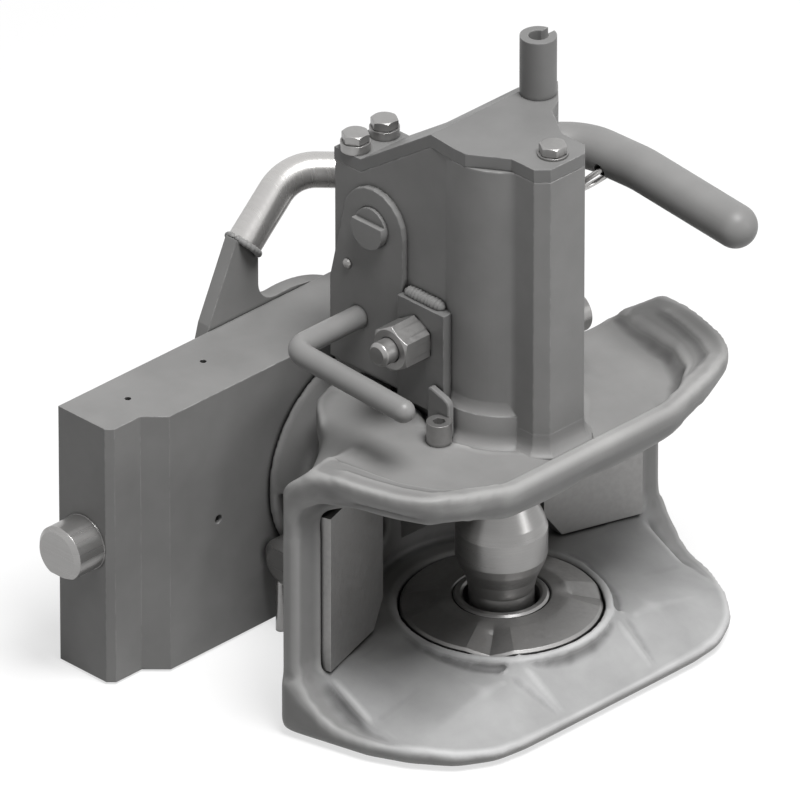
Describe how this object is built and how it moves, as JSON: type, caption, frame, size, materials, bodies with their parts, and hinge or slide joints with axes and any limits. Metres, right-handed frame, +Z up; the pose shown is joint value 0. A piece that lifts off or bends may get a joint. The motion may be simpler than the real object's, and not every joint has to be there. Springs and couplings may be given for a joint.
{
  "type": "automatic tractor hitch",
  "caption": "Automatic clevis hitch: guide plate with locking bolts, swivelling cast jaw, and a tower with a lifting coupling pin, hand lever and release lever.",
  "frame": {"origin": "where the coupling pin's axis crosses the swivel axis, at the middle of the mouth", "axes": "+X across the tractor, -Y out of the mouth along the swivel axis, +Z up along the coupling pin"},
  "size_m": [0.3, 0.223, 0.279],
  "materials": {
    "plate_steel": "satin grey paint",
    "cast_body": "satin grey paint over a casting",
    "cover_paint": "satin grey paint",
    "lever_paint": "satin grey paint on bar",
    "turned_steel": "turned and ground",
    "wear_steel": "hardened, worn smooth",
    "bright_bar": "bright drawn",
    "fastener": "zinc plated",
    "spring_steel": "oiled spring steel",
    "bronze": "turned bronze"
  },
  "bodies": {
    "carrier": {"carrier_plate": "plate_steel", "swivel_bush": "bronze", "disc_ring": "spring_steel", "lock_spring_left": "spring_steel", "lock_spring_right": "spring_steel"},
    "bolt_left": {"locking_bolt_left": "turned_steel", "bolt_pin_left": "turned_steel"},
    "bolt_right": {"locking_bolt_right": "turned_steel", "bolt_pin_right": "turned_steel"},
    "lock": {"lock_disc": "plate_steel", "lock_handle": "bright_bar"},
    "head": {"hitch_body": "cast_body", "hub_washer": "turned_steel", "hub_nut": "fastener", "wear_plate_left": "wear_steel", "wear_plate_right": "wear_steel", "wear_disc": "wear_steel", "seat_ring": "turned_steel", "guide_bush": "bronze", "tower_housing": "cast_body", "cover_plate": "cover_paint", "cover_bolts": "fastener", "cover_washers": "fastener", "cable_tube": "cover_paint", "dome_bolt": "turned_steel", "dome_pin": "turned_steel", "side_pad": "cast_body", "lug_plate": "cover_paint", "lug_nut": "fastener", "lug_bolt": "fastener", "side_plug": "turned_steel", "cap_screw": "fastener", "clamp_tab": "cover_paint"},
    "lever": {"hand_lever": "lever_paint", "lever_ring": "bright_bar", "lifting_arm": "plate_steel", "lift_pin": "turned_steel", "main_spring": "spring_steel"},
    "pin": {"coupling_pin": "turned_steel"},
    "release": {"release_lever": "lever_paint", "trip_finger": "plate_steel", "catch": "plate_steel", "release_spring": "spring_steel"}
  },
  "joints": [
    {"name": "head_swivel", "type": "hinge", "parent": "carrier", "child": "head", "pos_m": [0, 0.088, 0], "axis": [0, 1, 0], "range_deg": [-90, 90]},
    {"name": "lever_turn", "type": "hinge", "parent": "head", "child": "lever", "pos_m": [0, 0.049, 0.133], "axis": [-1, 0, 0], "range_deg": [0, 80], "stiffness_Nm_per_rad": 1.5, "springref_deg": -68.75},
    {"name": "pin_lift", "type": "slide", "parent": "head", "child": "pin", "axis": [0, 0, 1], "range_m": [0, 0.0735]},
    {"name": "release_turn", "type": "hinge", "parent": "head", "child": "release", "pos_m": [0, 0.057, 0.087], "axis": [1, 0, 0], "range_deg": [0, 8], "stiffness_Nm_per_rad": 1, "springref_deg": -28.65},
    {"name": "lock_turn", "type": "hinge", "parent": "carrier", "child": "lock", "pos_m": [0, 0.13, 0], "axis": [0, -1, 0], "range_deg": [0, 32], "stiffness_Nm_per_rad": 2, "springref_deg": -34.38},
    {"name": "bolt_left_slide", "type": "slide", "parent": "carrier", "child": "bolt_left", "axis": [1, 0, 0], "range_m": [0, 0.016], "deforming": ["lock_spring_left"]},
    {"name": "bolt_right_slide", "type": "slide", "parent": "carrier", "child": "bolt_right", "axis": [-1, 0, 0], "range_m": [0, 0.016], "deforming": ["lock_spring_right"]}
  ],
  "couplings": [
    {"joint": "pin_lift", "follows": "lever_turn", "m_per_rad": 0.052461},
    {"joint": "bolt_left_slide", "follows": "lock_turn", "m_per_rad": 0.028647},
    {"joint": "bolt_right_slide", "follows": "lock_turn", "m_per_rad": 0.028647}
  ]
}
